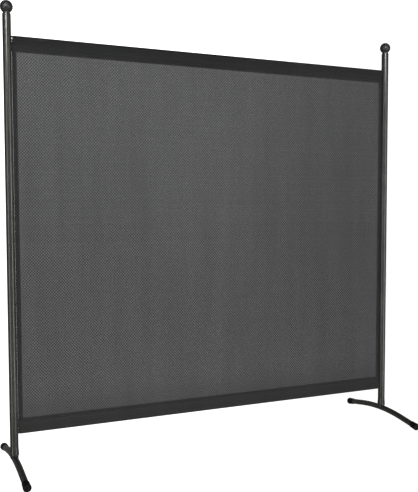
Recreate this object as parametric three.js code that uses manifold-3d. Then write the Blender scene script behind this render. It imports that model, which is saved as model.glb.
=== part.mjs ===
// A free-standing see-through screen. Two round posts stand on arched feet and carry
// ball finials. Two crossbars join the posts and run inside the hems of a mesh cloth,
// which they keep stretched. Each bar ends in a moulded plug with a steel hook that
// drops behind the wall of its post.
//
// Millimetres. +X runs along the screen, -Y is its front and +Z is up. The origin is
// on the floor, midway between the posts.
import * as THREE from 'three';
import { mergeVertices } from 'three/addons/utils/BufferGeometryUtils.js';
import Module from 'manifold-3d';

const wasm = await Module();
wasm.setup();

// ---------------------------------------------------------------- driving dimensions
const POST_SPACING = 1744; // between the axes of the two posts
const SCREEN_HEIGHT = 1780; // from the floor to the top of the finials

const GAP = 0.3; // left between faces that touch
const RUNNING = 0.5; // radial room round a piece that turns or slides in another

const POST_RADIUS = 16;
const POST_WALL = 1.5;
const BELL_FLARE = 1.5; // how much the lower end of a post is widened
const BELL_STRAIGHT = 6; // full-width part of the widened end
const BELL_LENGTH = 36; // from the end of the post to where it is plain again
const RIM_ROUND = 3; // radius of the rolled top edge
const RIM_LIP = 0.4; // flat left on top of the rolled edge

const BALL_RADIUS = 24;
const NECK_SEAT = 0.9; // how far the finial's neck overlaps the rolled edge
const NECK_LENGTH = 3.6; // neck left showing between post and ball
const PEG_LENGTH = 24; // the part of the finial that is pushed into the post
const PEG_WALL = 2.4;

const FOOT_REACH = 258; // from the post's axis to the end of a cap, level
const FOOT_APEX = 43.5; // height of the foot's centre line under the post
const FOOT_SLOPE = 9.2; // degrees below level at the foot's straight ends
const FOOT_RADIUS = 12.5;
const FOOT_WALL = 1.5;

const CAP_LENGTH = 37;
const CAP_END_WALL = 6;
const CAP_WALL = 1.5; // at the mouth
const CAP_FLARE = 1.3; // how much wider the closed end is than the mouth
const CAP_ROUND = 4;
const SOLE_DEPTH = 1.8; // how much the flat sole cuts off the round cap

const STUB_WALL = 2.5;
const STUB_COLLAR = 10; // height of the wide part inside the post's widened end
const STUB_LENGTH = 64; // from the post's lower end to the top of the stub

const SCREW_RADIUS = 3;
const SCREW_HEAD_RADIUS = 4.6;
const SCREW_HEAD_HEIGHT = 2.6;
const SCREW_SOCKET_RADIUS = 2.3;
const SCREW_SOCKET_DEPTH = 1.5;
const SCREW_RISE = 20; // above the post's lower end

const BAR_RADIUS = 10;
const BAR_WALL = 1.2;
const BAR_SETBACK = 5.4; // from the end of a crossbar to the post

const FLANGE_THICKNESS = 1.5;
const LIP_HEIGHT = 4.6; // of the two lips that bear on the post
const LIP_OVERHANG = 0.6; // how far the lips reach past the post's nearest point
const PLUG_DEPTH = 22; // inside the crossbar

const HOOK_THICKNESS = 3;
const HOOK_HEIGHT = 9;
const HOOK_NOSE = 5; // length of the nose behind the post's wall
const HOOK_DROP = 8; // how far the nose reaches past the neck
const HOOK_ROUND = 1.5;
const HOOK_TANG = 20; // the part inside the plug

const PIN_RADIUS = 2.5;
const PIN_INSET = 12; // from the end of the crossbar
const PIN_SHORT = 0.5; // how far each end of the pin stays inside the bar

const CLOTH_THICKNESS = 0.8;
const CLOTH_BELOW_POST_TOP = 80.4;
const CLOTH_ABOVE_FLOOR = 137;
const CLOTH_SIDE_GAP = 1.6; // between cloth and post
const HEM_HEIGHT = 60; // top and bottom hems
const SIDE_HEM_WIDTH = 18;
const TUNNEL_NIP = 26; // from the bar's centre to where the two layers meet
const MOUTH_SETBACK = 6.2; // from the mouth of the tunnel to the post
const MOUTH_HEIGHT = 22; // of the notch at each corner of the cloth

// ---------------------------------------------------------------- facets per turn
const POST_FACETS = 28;
const BALL_FACETS = 24;
const TUBE_FACETS = 20;
const CAP_FACETS = 24;
const SMALL_FACETS = 12;
const FOOT_STEPS = 18;

// ---------------------------------------------------------------- places that follow
const boreRadius = POST_RADIUS - POST_WALL;
const bellRadius = POST_RADIUS + BELL_FLARE;
const footTop = FOOT_APEX + FOOT_RADIUS;
const postBottom = footTop + GAP;
const rimMouth = POST_RADIUS - RIM_ROUND - RIM_LIP;
const neckRadius = rimMouth + NECK_SEAT;
const ballCentre = SCREEN_HEIGHT - BALL_RADIUS;
const neckTop = ballCentre - Math.sqrt(BALL_RADIUS ** 2 - neckRadius ** 2);
const postTop = neckTop - NECK_LENGTH - GAP;

const postFace = POST_SPACING / 2 - POST_RADIUS; // inner face of a post
const barEnd = postFace - BAR_SETBACK;
const tunnelBore = BAR_RADIUS + GAP;
const tunnelRadius = tunnelBore + CLOTH_THICKNESS;
const clothTop = postTop - CLOTH_BELOW_POST_TOP;
const clothBottom = CLOTH_ABOVE_FLOOR;
const topBarHeight = clothTop - tunnelRadius;
const bottomBarHeight = clothBottom + tunnelRadius;
const clothEdge = postFace - CLOTH_SIDE_GAP;
const hookSlack = GAP + POST_WALL; // neck length inside the post's wall and gap

// ---------------------------------------------------------------- finishes
const powderCoat = () => new THREE.MeshStandardMaterial({ color: 0x3c3d3a, roughness: 0.38, metalness: 0.35 });
const ballPlastic = () => new THREE.MeshStandardMaterial({ color: 0x2e2f2d, roughness: 0.6, metalness: 0 });
const blackRubber = () => new THREE.MeshStandardMaterial({ color: 0x111111, roughness: 0.8, metalness: 0 });
const plugPlastic = () => new THREE.MeshStandardMaterial({ color: 0x161616, roughness: 0.6, metalness: 0 });
const zincSteel = () => new THREE.MeshStandardMaterial({ color: 0xb9bcbe, roughness: 0.35, metalness: 0.9 });
const meshCloth = () => new THREE.MeshStandardMaterial({ color: 0x4c4d50, roughness: 0.85, metalness: 0 });
const hemCloth = () => new THREE.MeshStandardMaterial({ color: 0x2b2c2e, roughness: 0.85, metalness: 0 });

// ---------------------------------------------------------------- shape helpers
const UP = new THREE.Vector3(0, 0, 1);

// Points of an arc in a profile, from one angle to another in degrees.
function arc(centreX, centreY, radius, from, to, steps) {
  const points = [];
  for (let i = 0; i <= steps; i += 1) {
    const angle = THREE.MathUtils.degToRad(from + ((to - from) * i) / steps);
    points.push(new THREE.Vector2(centreX + radius * Math.cos(angle), centreY + radius * Math.sin(angle)));
  }
  return points;
}

const at = (radius, height) => new THREE.Vector2(radius, height);

// A profile of (radius, height) points turned about Z, outside going up.
function turned(profile, facets) {
  return new THREE.LatheGeometry(profile, facets).rotateX(Math.PI / 2);
}

// Length along Z turned to lie along X, or along -Y.
const alongX = (geometry) => geometry.rotateY(Math.PI / 2);
const alongFront = (geometry) => geometry.rotateX(Math.PI / 2);

function box(from, to) {
  const size = new THREE.Vector3().subVectors(to, from);
  const centre = new THREE.Vector3().addVectors(from, to).multiplyScalar(0.5);
  return new THREE.BoxGeometry(size.x, size.y, size.z).translate(centre.x, centre.y, centre.z);
}

// A round bar with flat ends, centred on the origin, along Z.
function rod(radius, length, facets) {
  return new THREE.CylinderGeometry(radius, radius, length, facets).rotateX(Math.PI / 2);
}

// A closed geometry as a manifold solid: shared corners merged, flat triangles dropped.
function solidOf(geometry) {
  const bare = geometry.clone();
  bare.deleteAttribute('normal');
  bare.deleteAttribute('uv');
  const merged = mergeVertices(bare, 1e-4);
  const index = merged.index.array;
  const triangles = [];
  for (let i = 0; i < index.length; i += 3) {
    const [a, b, c] = [index[i], index[i + 1], index[i + 2]];
    if (a !== b && b !== c && c !== a) triangles.push(a, b, c);
  }
  const mesh = new wasm.Mesh({
    numProp: 3,
    vertProperties: new Float32Array(merged.attributes.position.array),
    triVerts: new Uint32Array(triangles),
  });
  mesh.merge();
  return new wasm.Manifold(mesh);
}

function geometryOf(solid) {
  const mesh = solid.getMesh();
  const geometry = new THREE.BufferGeometry();
  geometry.setAttribute('position', new THREE.BufferAttribute(mesh.vertProperties, 3));
  geometry.setIndex(new THREE.BufferAttribute(mesh.triVerts, 1));
  geometry.computeVertexNormals();
  return geometry;
}

// A geometry with every one of the cutters taken away from it.
function cut(geometry, cutters) {
  let solid = solidOf(geometry);
  for (const cutter of cutters) solid = solid.subtract(solidOf(cutter));
  return geometryOf(solid);
}

const join = (geometry, other) => geometryOf(solidOf(geometry).add(solidOf(other)));

function place(parent, name, geometry, material) {
  const mesh = new THREE.Mesh(geometry, material);
  mesh.name = name;
  parent.add(mesh);
  return mesh;
}

// ---------------------------------------------------------------- posts
// Outside radius of a post at a height above its lower end, which is widened.
function postRadiusAt(rise) {
  const slope = THREE.MathUtils.smoothstep(rise, BELL_STRAIGHT, BELL_LENGTH);
  return bellRadius - BELL_FLARE * slope;
}

function postWall(offset, steps) {
  const points = [at(bellRadius - offset, postBottom)];
  for (let i = 0; i <= steps; i += 1) {
    const rise = BELL_STRAIGHT + ((BELL_LENGTH - BELL_STRAIGHT) * i) / steps;
    points.push(at(postRadiusAt(rise) - offset, postBottom + rise));
  }
  return points;
}

// The hook enters through a slot that is tall enough for its nose.
function hookSlot(side, barHeight, lock) {
  const halfWidth = HOOK_THICKNESS / 2 + RUNNING;
  const middle = barHeight + (lock * HOOK_DROP) / 2;
  const halfHeight = (HOOK_HEIGHT + HOOK_DROP) / 2 + RUNNING;
  const inner = -side * (boreRadius - POST_WALL);
  const outer = -side * (POST_RADIUS + POST_WALL);
  return box(
    new THREE.Vector3(Math.min(inner, outer), -halfWidth, middle - halfHeight),
    new THREE.Vector3(Math.max(inner, outer), halfWidth, middle + halfHeight),
  );
}

function post(side) {
  const steps = 4;
  const rimSteps = 3;
  const profile = [
    ...postWall(0, steps),
    ...arc(POST_RADIUS - RIM_ROUND, postTop - RIM_ROUND, RIM_ROUND, 0, 90, rimSteps),
    at(rimMouth, postTop),
    at(rimMouth, postTop - POST_WALL),
    ...arc(POST_RADIUS - RIM_ROUND, postTop - RIM_ROUND, RIM_ROUND - POST_WALL, 90, 0, rimSteps),
    ...postWall(POST_WALL, steps).reverse(),
    at(bellRadius, postBottom),
  ];
  const screwHole = rod(SCREW_RADIUS + GAP, bellRadius, SMALL_FACETS);
  alongFront(screwHole).translate(0, -bellRadius, postBottom + SCREW_RISE);
  return cut(turned(profile, POST_FACETS), [
    hookSlot(side, topBarHeight, -1),
    hookSlot(side, bottomBarHeight, 1),
    screwHole,
  ]);
}

// ---------------------------------------------------------------- finials
// Ball, neck and hollow peg, moulded in one. The neck sits on the post's rolled edge.
function finial() {
  const pegRadius = rimMouth - RUNNING;
  const neckBottom = postTop + GAP;
  const pegBottom = neckBottom - PEG_LENGTH;
  const startAngle = THREE.MathUtils.radToDeg(Math.asin((neckTop - ballCentre) / BALL_RADIUS));
  const ball = arc(0, ballCentre, BALL_RADIUS, startAngle, 90, 11);
  ball[ball.length - 1].x = 0;
  const profile = [
    at(0, neckBottom - PEG_WALL),
    at(pegRadius - PEG_WALL, neckBottom - PEG_WALL),
    at(pegRadius - PEG_WALL, pegBottom),
    at(pegRadius, pegBottom),
    at(pegRadius, neckBottom),
    at(neckRadius, neckBottom),
    ...ball,
  ];
  return turned(profile, BALL_FACETS);
}

// ---------------------------------------------------------------- feet
// Centre line of a foot: an arc under the post that runs on straight to both ends.
class FootLine extends THREE.Curve {
  constructor() {
    super();
    const slope = THREE.MathUtils.degToRad(FOOT_SLOPE);
    const capEnd = (FOOT_RADIUS + GAP + CAP_WALL + CAP_FLARE) * Math.cos(slope) - SOLE_DEPTH;
    const drop = FOOT_APEX - capEnd;
    const spare = FOOT_REACH * Math.tan(slope) - drop;
    this.slope = slope;
    this.radius = (spare * Math.cos(slope)) / (1 - Math.cos(slope));
    this.halfArc = this.radius * slope;
    this.straight = (FOOT_REACH - this.radius * Math.sin(slope)) / Math.cos(slope);
    this.half = this.halfArc + this.straight - CAP_END_WALL - GAP; // the tube's own half length
  }

  // Place at a length along the line, counted from under the post.
  along(length, target = new THREE.Vector3()) {
    const bent = THREE.MathUtils.clamp(length, -this.halfArc, this.halfArc);
    const angle = bent / this.radius;
    const rest = length - bent;
    const y = this.radius * Math.sin(angle) + rest * Math.cos(this.slope);
    const z = FOOT_APEX - this.radius * (1 - Math.cos(angle)) - Math.abs(rest) * Math.sin(this.slope);
    return target.set(0, y, z);
  }

  getPoint(t, target) {
    return this.along((2 * t - 1) * this.half, target);
  }
}

const footLine = new FootLine();

function ring(radius, facets) {
  const shape = new THREE.Shape();
  shape.setFromPoints(arc(0, 0, radius, 0, 360 - 360 / facets, facets - 1));
  return shape;
}

function footBar(radius, bore) {
  const section = ring(radius, TUBE_FACETS);
  if (bore > 0) section.holes.push(ring(bore, TUBE_FACETS));
  return new THREE.ExtrudeGeometry(section, { steps: FOOT_STEPS, extrudePath: footLine });
}

// The stub stands on the foot, saddle-cut to it, and the post is slipped over it.
function footStub() {
  const stubRadius = boreRadius - RUNNING;
  const collarRadius = bellRadius - POST_WALL - RUNNING;
  const collarTop = postBottom + STUB_COLLAR;
  const top = postBottom + STUB_LENGTH;
  const chamfer = collarRadius - stubRadius;
  const profile = [
    at(collarRadius, FOOT_APEX),
    at(collarRadius, collarTop - chamfer),
    at(stubRadius, collarTop),
    at(stubRadius, top - chamfer),
    at(stubRadius - chamfer, top),
    at(stubRadius - STUB_WALL, top),
    at(stubRadius - STUB_WALL, FOOT_APEX),
    at(collarRadius, FOOT_APEX),
  ];
  return cut(turned(profile, POST_FACETS), [footBar(FOOT_RADIUS + GAP, 0)]);
}

// A cup that slips over the tube's end, wider at its closed end and cut flat below.
function footCap(end) {
  const bore = FOOT_RADIUS + GAP;
  const mouth = bore + CAP_WALL;
  const wide = mouth + CAP_FLARE;
  const profile = [
    at(0, CAP_LENGTH - CAP_END_WALL),
    at(bore, CAP_LENGTH - CAP_END_WALL),
    at(bore, 0),
    at(mouth, 0),
    at(mouth, CAP_LENGTH / 3),
    ...arc(wide - CAP_ROUND, CAP_LENGTH - CAP_ROUND, CAP_ROUND, 0, 90, 4),
    at(0, CAP_LENGTH),
  ];
  const outward = new THREE.Vector3(0, end * Math.cos(footLine.slope), -Math.sin(footLine.slope));
  const mouthAt = footLine.along(end * (footLine.half + GAP + CAP_END_WALL - CAP_LENGTH));
  const turn = new THREE.Quaternion().setFromUnitVectors(UP, outward);
  const cap = turned(profile, CAP_FACETS).applyQuaternion(turn).translate(mouthAt.x, mouthAt.y, mouthAt.z);
  const reach = 2 * FOOT_REACH;
  const floor = box(new THREE.Vector3(-reach, -reach, -reach), new THREE.Vector3(reach, reach, 0));
  return cut(cap, [floor]);
}

// Button-head screw in the front of the post. Its tip bears on the stub.
function clampScrew() {
  const seat = postRadiusAt(SCREW_RISE) + GAP;
  const tip = boreRadius - RUNNING + GAP;
  const crown = seat + SCREW_HEAD_HEIGHT;
  const profile = [
    at(0, tip),
    at(SCREW_RADIUS, tip),
    at(SCREW_RADIUS, seat),
    at(SCREW_HEAD_RADIUS, seat),
    at(SCREW_HEAD_RADIUS, seat + SCREW_HEAD_HEIGHT / 3),
    at(SCREW_HEAD_RADIUS * 0.8, crown - SCREW_HEAD_HEIGHT / 6),
    at(SCREW_SOCKET_RADIUS * 1.3, crown),
    at(0, crown),
  ];
  const socket = rod(SCREW_SOCKET_RADIUS, 2 * SCREW_SOCKET_DEPTH, 6).translate(0, 0, crown);
  const screw = cut(turned(profile, SMALL_FACETS), [socket]);
  return alongFront(screw).translate(0, 0, postBottom + SCREW_RISE);
}

// ---------------------------------------------------------------- crossbars
function crossbar() {
  const bore = BAR_RADIUS - BAR_WALL;
  const profile = [
    at(BAR_RADIUS, -barEnd),
    at(BAR_RADIUS, barEnd),
    at(bore, barEnd),
    at(bore, -barEnd),
    at(BAR_RADIUS, -barEnd),
  ];
  const holes = [-1, 1].map((side) => {
    const hole = alongFront(rod(PIN_RADIUS + GAP, 3 * BAR_RADIUS, SMALL_FACETS));
    return hole.translate(side * (barEnd - PIN_INSET), 0, 0);
  });
  return cut(alongX(turned(profile, TUBE_FACETS)), holes);
}

// The fittings below are drawn for the right-hand end of a bar, with x counted from
// the bar's end towards the post. A left-hand end is the same piece turned round.
function endPlug() {
  const plugRadius = BAR_RADIUS - BAR_WALL - GAP;
  const reach = BAR_SETBACK + LIP_OVERHANG;
  const body = rod(plugRadius, PLUG_DEPTH + GAP + FLANGE_THICKNESS / 2, TUBE_FACETS);
  alongX(body).translate((GAP + FLANGE_THICKNESS / 2 - PLUG_DEPTH) / 2, 0, 0);
  const head = alongX(rod(BAR_RADIUS, reach - GAP, TUBE_FACETS)).translate((reach + GAP) / 2, 0, 0);
  const window = box(
    new THREE.Vector3(GAP + FLANGE_THICKNESS, -2 * BAR_RADIUS, LIP_HEIGHT - BAR_RADIUS),
    new THREE.Vector3(2 * reach, 2 * BAR_RADIUS, BAR_RADIUS - LIP_HEIGHT),
  );
  const postShape = rod(POST_RADIUS + GAP, 4 * BAR_RADIUS, POST_FACETS);
  postShape.translate(BAR_SETBACK + POST_RADIUS, 0, 0);
  const halfSlot = HOOK_THICKNESS / 2 + GAP;
  const halfTang = HOOK_HEIGHT / 2 + GAP;
  const tangSlot = box(
    new THREE.Vector3(-2 * PLUG_DEPTH, -halfSlot, -halfTang),
    new THREE.Vector3(2 * reach, halfSlot, halfTang),
  );
  const pinHole = alongFront(rod(PIN_RADIUS + GAP, 3 * BAR_RADIUS, SMALL_FACETS)).translate(-PIN_INSET, 0, 0);
  return cut(join(body, head), [window, postShape, tangSlot, pinHole]);
}

// Steel plate with a nose that drops behind the post's wall on the side of the cloth.
function hook() {
  const wallInside = BAR_SETBACK + hookSlack;
  const half = HOOK_HEIGHT / 2;
  const tipX = wallInside + GAP + HOOK_NOSE;
  const backX = wallInside + GAP;
  const outline = [
    at(-HOOK_TANG, -half),
    at(backX, -half),
    at(backX, -half - HOOK_DROP),
    ...arc(tipX - HOOK_ROUND, -half - HOOK_DROP + HOOK_ROUND, HOOK_ROUND, -90, 0, 3),
    ...arc(tipX - HOOK_ROUND, half - HOOK_ROUND, HOOK_ROUND, 0, 90, 3),
    at(-HOOK_TANG, half),
  ];
  const shape = new THREE.Shape(outline);
  const plate = new THREE.ExtrudeGeometry(shape, { depth: HOOK_THICKNESS, bevelEnabled: false });
  plate.rotateX(Math.PI / 2).translate(0, HOOK_THICKNESS / 2, 0);
  const hole = alongFront(rod(PIN_RADIUS + GAP, 3 * HOOK_THICKNESS, SMALL_FACETS)).translate(-PIN_INSET, 0, 0);
  return cut(plate, [hole]);
}

function lockPin() {
  return alongFront(rod(PIN_RADIUS, 2 * (BAR_RADIUS - PIN_SHORT), SMALL_FACETS)).translate(-PIN_INSET, 0, 0);
}

// ---------------------------------------------------------------- cloth
// Outline of the tunnel round a bar: an arc over the bar and two tangents down to the nip.
function teardrop(radius, halfNip, nip) {
  const distance = Math.hypot(halfNip, nip);
  const tangent = Math.acos(radius / distance) - Math.atan2(halfNip, nip);
  const start = THREE.MathUtils.radToDeg(tangent) - 90;
  return [at(halfNip, -nip), ...arc(0, 0, radius, start, 180 - start, 20), at(-halfNip, -nip)];
}

// A hem for the top edge: the tunnel, and below it the two layers lying flat together.
function topHem() {
  const outline = teardrop(tunnelRadius, CLOTH_THICKNESS, TUNNEL_NIP);
  const hemEnd = tunnelRadius - HEM_HEIGHT;
  const shape = new THREE.Shape([at(CLOTH_THICKNESS, hemEnd), ...outline, at(-CLOTH_THICKNESS, hemEnd)]);
  const nipInside = TUNNEL_NIP - 2 * CLOTH_THICKNESS;
  const tunnel = teardrop(tunnelBore, CLOTH_THICKNESS / 4, nipInside);
  shape.holes.push(new THREE.Path(tunnel));
  const length = 2 * clothEdge;
  const hem = new THREE.ExtrudeGeometry(shape, { depth: length, bevelEnabled: false });
  const lie = new THREE.Matrix4().makeBasis(
    new THREE.Vector3(0, 1, 0),
    new THREE.Vector3(0, 0, 1),
    new THREE.Vector3(1, 0, 0),
  );
  hem.applyMatrix4(lie).translate(-clothEdge, 0, 0);
  const notches = [-1, 1].map((side) => {
    const near = side * (postFace - MOUTH_SETBACK);
    const far = side * POST_SPACING;
    return box(
      new THREE.Vector3(Math.min(near, far), -2 * tunnelRadius, tunnelRadius - MOUTH_HEIGHT),
      new THREE.Vector3(Math.max(near, far), 2 * tunnelRadius, 2 * tunnelRadius),
    );
  });
  return cut(hem, notches);
}

function sideHem(side) {
  const low = clothBottom + HEM_HEIGHT + GAP;
  const high = clothTop - HEM_HEIGHT - GAP;
  const near = side * (clothEdge - SIDE_HEM_WIDTH);
  const far = side * clothEdge;
  return box(
    new THREE.Vector3(Math.min(near, far), -CLOTH_THICKNESS, low),
    new THREE.Vector3(Math.max(near, far), CLOTH_THICKNESS, high),
  );
}

function meshPanel() {
  const halfWidth = clothEdge - SIDE_HEM_WIDTH - GAP;
  return box(
    new THREE.Vector3(-halfWidth, -CLOTH_THICKNESS / 2, clothBottom + HEM_HEIGHT + GAP),
    new THREE.Vector3(halfWidth, CLOTH_THICKNESS / 2, clothTop - HEM_HEIGHT - GAP),
  );
}

// ---------------------------------------------------------------- assembly
const screen = new THREE.Group();

for (const [sideName, side] of [['left', -1], ['right', 1]]) {
  const upright = new THREE.Group();
  upright.position.x = (side * POST_SPACING) / 2;
  screen.add(upright);
  place(upright, `${sideName}_post`, post(side), powderCoat());
  place(upright, `${sideName}_finial`, finial(), ballPlastic());
  place(upright, `${sideName}_clamp_screw`, clampScrew(), zincSteel());
  place(upright, `${sideName}_foot_tube`, footBar(FOOT_RADIUS, FOOT_RADIUS - FOOT_WALL), powderCoat());
  place(upright, `${sideName}_foot_stub`, footStub(), powderCoat());
  place(upright, `${sideName}_front_cap`, footCap(-1), blackRubber());
  place(upright, `${sideName}_back_cap`, footCap(1), blackRubber());
  place(screen, `${sideName}_hem`, sideHem(side), hemCloth());
}

// The hooks of the top bar drop down and those of the bottom bar reach up, so that the
// pull of the cloth keeps both locked.
for (const [barName, height, flip] of [['top', topBarHeight, 0], ['bottom', bottomBarHeight, Math.PI]]) {
  const bar = new THREE.Group();
  bar.position.z = height;
  bar.rotation.x = flip;
  screen.add(bar);
  place(bar, `${barName}_crossbar`, crossbar(), powderCoat());
  place(bar, `${barName}_hem`, topHem(), hemCloth());
  for (const [sideName, side] of [['left', -1], ['right', 1]]) {
    const end = new THREE.Group();
    end.position.x = side * barEnd;
    end.rotation.z = side < 0 ? Math.PI : 0;
    bar.add(end);
    place(end, `${barName}_${sideName}_plug`, endPlug(), plugPlastic());
    place(end, `${barName}_${sideName}_hook`, hook(), zincSteel());
    place(end, `${barName}_${sideName}_pin`, lockPin(), zincSteel());
  }
}

place(screen, 'mesh_panel', meshPanel(), meshCloth());

export default screen;
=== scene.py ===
# %% [markdown]
# # A free-standing mesh screen
#
# Two round posts stand on arched feet and carry ball finials. Two crossbars hook
# into the posts and run inside the folded hems of one dark mesh cloth, which they
# keep stretched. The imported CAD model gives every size. This lesson builds finer
# pieces in the same places, gives each one its finish, and lights the result.

# %% Load the fixed frame
import math

import bmesh
import bpy
import numpy as np
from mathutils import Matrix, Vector


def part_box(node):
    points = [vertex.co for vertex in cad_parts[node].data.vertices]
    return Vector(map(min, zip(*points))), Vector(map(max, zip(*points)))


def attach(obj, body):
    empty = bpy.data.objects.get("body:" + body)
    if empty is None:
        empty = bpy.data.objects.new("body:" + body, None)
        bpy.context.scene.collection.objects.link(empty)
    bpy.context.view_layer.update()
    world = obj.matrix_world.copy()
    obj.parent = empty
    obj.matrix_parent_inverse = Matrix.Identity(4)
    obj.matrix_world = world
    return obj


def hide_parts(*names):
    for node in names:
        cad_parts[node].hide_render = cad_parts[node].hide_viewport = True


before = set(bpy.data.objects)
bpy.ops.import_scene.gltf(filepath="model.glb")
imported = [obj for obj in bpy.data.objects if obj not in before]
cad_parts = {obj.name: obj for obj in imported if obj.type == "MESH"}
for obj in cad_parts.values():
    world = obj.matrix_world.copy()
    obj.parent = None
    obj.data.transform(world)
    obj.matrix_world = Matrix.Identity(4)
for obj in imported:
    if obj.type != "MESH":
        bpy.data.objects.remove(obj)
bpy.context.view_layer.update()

MM = 0.001  # every size below is written in millimetres and multiplied by this
SIDES = {"left": -1, "right": 1}
BARS = {"top": 1, "bottom": -1}

# %% [markdown]
# ## Camera
#
# The camera stands left of the screen's middle, about a metre above the floor, and
# looks to the right, so the right post is further away and looks smaller. Its place,
# its turn and its lens are plain numbers.

# %% Place the camera
CAMERA_PLACE = Vector((-1.3398, -2.8109, 0.9916))
CAMERA_YAW = 24.204  # degrees to the right of straight ahead
CAMERA_PITCH = -3.326
CAMERA_ROLL = -0.183
FOCAL_LENGTH = 53.19  # millimetres, on a sensor 36 mm high
LENS_SHIFT = (0.0143, 0.0159)  # the frame sits a little right of and above the lens axis


def make_camera():
    yaw, pitch = math.radians(CAMERA_YAW), math.radians(CAMERA_PITCH)
    ahead = Vector((math.sin(yaw) * math.cos(pitch), math.cos(yaw) * math.cos(pitch), math.sin(pitch)))
    data = bpy.data.cameras.new("camera")
    data.sensor_fit = "VERTICAL"
    data.sensor_height = 36
    data.lens = FOCAL_LENGTH
    data.shift_x, data.shift_y = LENS_SHIFT
    camera = bpy.data.objects.new("camera", data)
    bpy.context.scene.collection.objects.link(camera)
    turn = ahead.to_track_quat("-Z", "Y").to_matrix()
    roll = turn.copy()
    angle = math.radians(CAMERA_ROLL)
    roll.col[0] = turn.col[0] * math.cos(angle) + turn.col[1] * math.sin(angle)
    roll.col[1] = turn.col[1] * math.cos(angle) - turn.col[0] * math.sin(angle)
    camera.matrix_world = roll.to_4x4()
    camera.location = CAMERA_PLACE
    bpy.context.scene.camera = camera
    return camera


camera = make_camera()
print("lens", round(camera.data.lens, 2), "mm")

# %% [markdown]
# ## Writing a finish as sums
#
# A finish in Blender is a tree of nodes. Written out one by one the trees are long,
# so two small classes help. `Value` wraps a number socket and turns `+ - * / **` into
# Math nodes. `Finish` owns one material and makes any other node with one method.

# %% Value: a number socket that can be added and multiplied
class Value:
    def __init__(self, finish, socket):
        self.finish = finish
        self.socket = socket

    def _math(self, operation, first, second):
        return self.finish.make("ShaderNodeMath", {"operation": operation}, [first, second])[0]

    def __add__(self, other):
        return self._math("ADD", self, other)

    def __radd__(self, other):
        return self._math("ADD", other, self)

    def __sub__(self, other):
        return self._math("SUBTRACT", self, other)

    def __rsub__(self, other):
        return self._math("SUBTRACT", other, self)

    def __mul__(self, other):
        return self._math("MULTIPLY", self, other)

    def __rmul__(self, other):
        return self._math("MULTIPLY", other, self)

    def __truediv__(self, other):
        return self._math("DIVIDE", self, other)

    def __pow__(self, other):
        return self._math("POWER", self, other)

    def wave(self):
        return self._math("SINE", self, 0.0)

    def size(self):
        return self._math("ABSOLUTE", self, 0.0)

    def part(self):
        return self._math("FRACT", self, 0.0)

    def whole(self):
        return self._math("FLOOR", self, 0.0)


# %% Finish: one material and the nodes that feed it
class Finish:
    def __init__(self, name, **fixed):
        self.material = bpy.data.materials.new(name)
        self.material.use_nodes = True
        self.tree = self.material.node_tree
        self.shader = self.tree.nodes["Principled BSDF"]
        for socket, value in fixed.items():
            self.shader.inputs[socket.replace("_", " ")].default_value = value

    def make(self, kind, settings=(), values=()):
        """Adds a node: its settings first, then its sockets by number or by name."""
        node = self.tree.nodes.new(kind)
        for key, value in dict(settings).items():
            setattr(node, key, value)
        pairs = values.items() if isinstance(values, dict) else enumerate(values)
        for key, value in pairs:
            if value is not None:
                self.join(value, node.inputs[key])
        return [Value(self, output) for output in node.outputs]

    def join(self, value, socket):
        if isinstance(value, Value):
            self.tree.links.new(value.socket, socket)
        else:
            socket.default_value = value

    def feed(self, **values):
        for name, value in values.items():
            self.join(value, self.shader.inputs[name.replace("_", " ")])
        return self.material

    def place(self):
        return self.make("ShaderNodeTexCoord")[3]

    def axes(self, vector):
        return self.make("ShaderNodeSeparateXYZ", (), [vector])

    def cells(self, vector, per_metre, randomness=1.0):
        values = {"Vector": vector, "Scale": per_metre, "Randomness": randomness}
        return self.make("ShaderNodeTexVoronoi", {"feature": "F1"}, values)

    def noise(self, vector, per_metre, detail=2.0, rough=0.5):
        values = {"Vector": vector, "Scale": per_metre, "Detail": detail, "Roughness": rough}
        return self.make("ShaderNodeTexNoise", {"normalize": True}, values)[0]

    def stretch(self, vector, scale):
        return self.make("ShaderNodeMapping", (), {"Vector": vector, "Scale": scale})[0]

    def span(self, value, low, high, new_low, new_high):
        values = {0: value, 1: low, 2: high, 3: new_low, 4: new_high}
        return self.make("ShaderNodeMapRange", {"interpolation_type": "SMOOTHSTEP"}, values)[0]

    def blend(self, factor, first, second):
        first, second = (c if isinstance(c, Value) else (*c, 1) for c in (first, second))
        return self.make("ShaderNodeMix", {"data_type": "RGBA"}, {0: factor, 6: first, 7: second})[2]

    def bump(self, height, distance, strength=1.0, normal=None):
        values = {"Strength": strength, "Distance": distance, "Height": height, "Normal": normal}
        return self.make("ShaderNodeBump", (), values)[0]


print("finish helpers are ready")

# %% [markdown]
# ## Powder coat
#
# The posts and feet are steel tube with a baked powder coat: a dark, slightly olive
# grey. The powder melts into a skin that is not quite flat, the "orange peel", with
# lumps about two millimetres across and finer grain on them. The sheen changes a
# little from place to place, and handling leaves it duller in soft patches.

# %% Powder coat
POWDER_DARK = (0.0220, 0.0216, 0.0186)
POWDER_LIGHT = (0.0365, 0.0358, 0.0316)
POWDER_FLECK = (0.045, 0.044, 0.040)


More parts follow.
